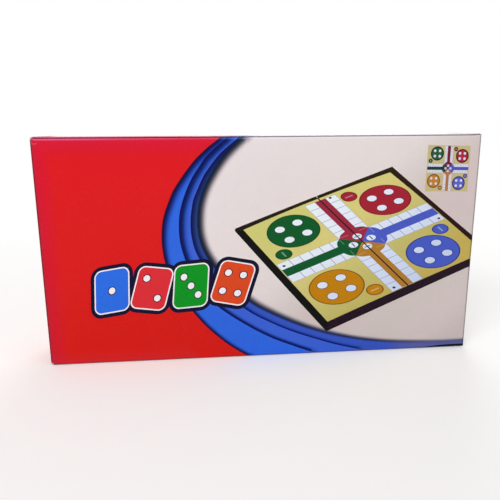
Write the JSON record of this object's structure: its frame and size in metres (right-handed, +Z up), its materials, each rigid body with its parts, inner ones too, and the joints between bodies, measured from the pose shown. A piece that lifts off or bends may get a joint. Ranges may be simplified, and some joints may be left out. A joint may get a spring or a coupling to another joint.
{
  "type": "folding ludo set in a carton",
  "caption": "Upright rectangular paperboard carton with tuck-in end closures, holding a folded magnetic ludo board case with its pawns, die and leaflet.",
  "frame": {"origin": "middle of the narrow face that the carton stands on", "axes": "+X along the carton to the right as its printed front is seen, +Y from the front to the back, +Z up"},
  "size_m": [0.25, 0.04, 0.13],
  "materials": {
    "printed_board": "gloss",
    "bare_board": "matte",
    "black_plastic": "satin",
    "tin_plate": "satin",
    "play_sheet": "satin",
    "steel_pin": "satin",
    "foam": "matte",
    "leaflet_paper": "matte",
    "ivory_plastic": "gloss",
    "ferrite": "matte",
    "red_plastic": "gloss",
    "green_plastic": "gloss",
    "blue_plastic": "gloss",
    "yellow_plastic": "gloss"
  },
  "bodies": {
    "carton": {"front_panel": "printed_board", "back_panel": "printed_board", "top_panel": "printed_board", "bottom_panel": "printed_board", "glue_flap": "bare_board", "front_half_shell": "black_plastic", "rear_half_shell": "black_plastic", "front_tin_plate": "tin_plate", "rear_tin_plate": "tin_plate", "front_play_sheet": "play_sheet", "rear_play_sheet": "play_sheet", "left_hinge_pin": "steel_pin", "right_hinge_pin": "steel_pin", "left_latch_clip": "black_plastic", "right_latch_clip": "black_plastic", "foam_tray": "foam", "rules_leaflet": "leaflet_paper", "die": "ivory_plastic", "red_pawn_1": "red_plastic", "red_pawn_1_magnet": "ferrite", "red_pawn_2": "red_plastic", "red_pawn_2_magnet": "ferrite", "red_pawn_3": "red_plastic", "red_pawn_3_magnet": "ferrite", "red_pawn_4": "red_plastic", "red_pawn_4_magnet": "ferrite", "green_pawn_1": "green_plastic", "green_pawn_1_magnet": "ferrite", "green_pawn_2": "green_plastic", "green_pawn_2_magnet": "ferrite", "green_pawn_3": "green_plastic", "green_pawn_3_magnet": "ferrite", "green_pawn_4": "green_plastic", "green_pawn_4_magnet": "ferrite", "blue_pawn_1": "blue_plastic", "blue_pawn_1_magnet": "ferrite", "blue_pawn_2": "blue_plastic", "blue_pawn_2_magnet": "ferrite", "blue_pawn_3": "blue_plastic", "blue_pawn_3_magnet": "ferrite", "blue_pawn_4": "blue_plastic", "blue_pawn_4_magnet": "ferrite", "yellow_pawn_1": "yellow_plastic", "yellow_pawn_1_magnet": "ferrite", "yellow_pawn_2": "yellow_plastic", "yellow_pawn_2_magnet": "ferrite", "yellow_pawn_3": "yellow_plastic", "yellow_pawn_3_magnet": "ferrite", "yellow_pawn_4": "yellow_plastic", "yellow_pawn_4_magnet": "ferrite"},
    "left_closure": {"left_end_closure": "printed_board"},
    "left_tongue": {"left_tuck_tongue": "bare_board"},
    "left_upper_flap": {"left_top_dust_flap": "bare_board"},
    "left_lower_flap": {"left_bottom_dust_flap": "bare_board"},
    "right_closure": {"right_end_closure": "printed_board"},
    "right_tongue": {"right_tuck_tongue": "bare_board"},
    "right_upper_flap": {"right_top_dust_flap": "bare_board"},
    "right_lower_flap": {"right_bottom_dust_flap": "bare_board"}
  },
  "joints": [
    {"name": "left_end_open", "type": "hinge", "parent": "carton", "child": "left_closure", "pos_m": [-0.1247, -0.0197, 0.065], "axis": [0, 0, 1], "range_deg": [0, 180]},
    {"name": "left_tongue_fold", "type": "hinge", "parent": "left_closure", "child": "left_tongue", "pos_m": [-0.1247, 0.01855, 0.065], "axis": [0, 0, -1], "range_deg": [0, 45]},
    {"name": "left_top_dust_flap_open", "type": "hinge", "parent": "carton", "child": "left_upper_flap", "pos_m": [-0.1238, 0, 0.1297], "axis": [0, 1, 0], "range_deg": [0, 90]},
    {"name": "left_bottom_dust_flap_open", "type": "hinge", "parent": "carton", "child": "left_lower_flap", "pos_m": [-0.1238, 0, 0.0003], "axis": [0, -1, 0], "range_deg": [0, 90]},
    {"name": "right_end_open", "type": "hinge", "parent": "carton", "child": "right_closure", "pos_m": [0.1247, -0.0197, 0.065], "axis": [0, 0, -1], "range_deg": [0, 180]},
    {"name": "right_tongue_fold", "type": "hinge", "parent": "right_closure", "child": "right_tongue", "pos_m": [0.1247, 0.01855, 0.065], "axis": [0, 0, 1], "range_deg": [0, 45]},
    {"name": "right_top_dust_flap_open", "type": "hinge", "parent": "carton", "child": "right_upper_flap", "pos_m": [0.1238, 0, 0.1297], "axis": [0, -1, 0], "range_deg": [0, 90]},
    {"name": "right_bottom_dust_flap_open", "type": "hinge", "parent": "carton", "child": "right_lower_flap", "pos_m": [0.1238, 0, 0.0003], "axis": [0, 1, 0], "range_deg": [0, 90]}
  ],
  "couplings": [
    {"joint": "left_tongue_fold", "follows": "left_end_open", "ratio": 0.25},
    {"joint": "left_top_dust_flap_open", "follows": "left_end_open", "ratio": 0.5},
    {"joint": "left_bottom_dust_flap_open", "follows": "left_end_open", "ratio": 0.5},
    {"joint": "right_tongue_fold", "follows": "right_end_open", "ratio": 0.25},
    {"joint": "right_top_dust_flap_open", "follows": "right_end_open", "ratio": 0.5},
    {"joint": "right_bottom_dust_flap_open", "follows": "right_end_open", "ratio": 0.5}
  ]
}
